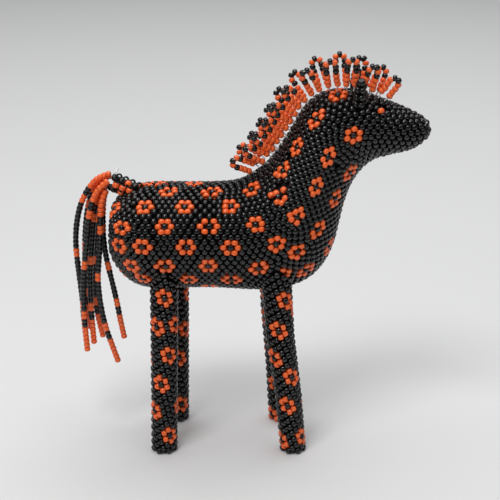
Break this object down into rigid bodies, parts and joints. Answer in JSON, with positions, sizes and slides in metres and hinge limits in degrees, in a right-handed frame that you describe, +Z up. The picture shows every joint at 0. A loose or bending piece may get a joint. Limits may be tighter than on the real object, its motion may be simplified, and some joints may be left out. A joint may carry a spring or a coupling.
{
  "type": "beaded horse figure",
  "caption": "Standing horse of black glass seed beads with orange six-petal flowers, looped bead mane and forelock, and a hanging bead-strand tail.",
  "frame": {"origin": "on the ground under the middle of the horse, in its middle plane", "axes": "+X forwards, the way the horse faces; +Y to its left; +Z up"},
  "size_m": [0.1021, 0.0308, 0.1166],
  "materials": {
    "black_beads": "opaque glossy seed beads",
    "orange_beads": "opaque glossy seed beads",
    "nylon_thread": "white waxed nylon beading thread",
    "binding_thread": "thick black cotton thread",
    "stuffing": "black cotton cloth, firmly wound",
    "armature_wire": "galvanised soft wire"
  },
  "bodies": {
    "horse": {"body_beadwork": "black_beads", "body_stuffing": "stuffing", "front_leg_wire": "armature_wire", "front_wire_binding": "binding_thread", "head_beadwork": "black_beads", "head_stuffing": "stuffing", "hind_leg_wire": "armature_wire", "hind_wire_binding": "binding_thread", "left_ear": "black_beads", "left_eye_bead": "orange_beads", "left_front_leg_beadwork": "black_beads", "left_front_leg_sole": "black_beads", "left_front_leg_stuffing": "stuffing", "left_hind_leg_beadwork": "black_beads", "left_hind_leg_sole": "black_beads", "left_hind_leg_stuffing": "stuffing", "neck_beadwork": "black_beads", "neck_stuffing": "stuffing", "right_ear": "black_beads", "right_eye_bead": "orange_beads", "right_front_leg_beadwork": "black_beads", "right_front_leg_sole": "black_beads", "right_front_leg_stuffing": "stuffing", "right_hind_leg_beadwork": "black_beads", "right_hind_leg_sole": "black_beads", "right_hind_leg_stuffing": "stuffing", "spine_wire": "armature_wire", "tail_dock_beadwork": "black_beads", "tail_dock_stuffing": "stuffing"},
    "tail_stitch": {"tail_stitch_thread": "nylon_thread"},
    "tail": {"tail_strand_1": "black_beads", "tail_strand_2": "black_beads", "tail_strand_3": "black_beads", "tail_strand_4": "black_beads", "tail_strand_5": "black_beads", "tail_strand_6": "black_beads", "tail_strand_7": "black_beads"},
    "mane_right": {"right_mane_loop_1": "black_beads", "right_mane_loop_2": "black_beads", "right_mane_loop_3": "black_beads", "right_mane_loop_4": "black_beads", "right_mane_loop_5": "black_beads", "right_mane_loop_6": "black_beads", "right_mane_loop_7": "black_beads", "right_mane_loop_8": "black_beads"},
    "mane_left": {"left_mane_loop_1": "black_beads", "left_mane_loop_2": "black_beads", "left_mane_loop_3": "black_beads", "left_mane_loop_4": "black_beads", "left_mane_loop_5": "black_beads", "left_mane_loop_6": "black_beads", "left_mane_loop_7": "black_beads", "left_mane_loop_8": "black_beads"},
    "forelock": {"forelock_loop_1": "black_beads", "forelock_loop_2": "black_beads", "forelock_loop_3": "black_beads", "forelock_loop_4": "black_beads", "forelock_loop_5": "black_beads"}
  },
  "joints": [
    {"name": "tail_swing", "type": "hinge", "parent": "horse", "child": "tail_stitch", "pos_m": [-0.04274, 0, 0.08339], "axis": [0, 1, 0], "range_deg": [0, 50]},
    {"name": "tail_sway", "type": "hinge", "parent": "tail_stitch", "child": "tail", "pos_m": [-0.04274, 0, 0.08339], "axis": [1, 0, 0], "range_deg": [-12, 12]},
    {"name": "mane_right_flop", "type": "hinge", "parent": "horse", "child": "mane_right", "pos_m": [0.0086, 0, 0.0976], "axis": [0.6837, 0, 0.7297], "range_deg": [-8, 8], "stiffness_Nm_per_rad": 0.002},
    {"name": "mane_left_flop", "type": "hinge", "parent": "horse", "child": "mane_left", "pos_m": [0.0086, 0, 0.0976], "axis": [0.6837, 0, 0.7297], "range_deg": [-8, 8], "stiffness_Nm_per_rad": 0.002},
    {"name": "forelock_flop", "type": "hinge", "parent": "horse", "child": "forelock", "pos_m": [0.0273, 0, 0.1062], "axis": [0.96, 0, -0.28], "range_deg": [-8, 8], "stiffness_Nm_per_rad": 0.001}
  ],
  "couplings": [
    {"joint": "mane_left_flop", "follows": "mane_right_flop", "ratio": 1}
  ]
}
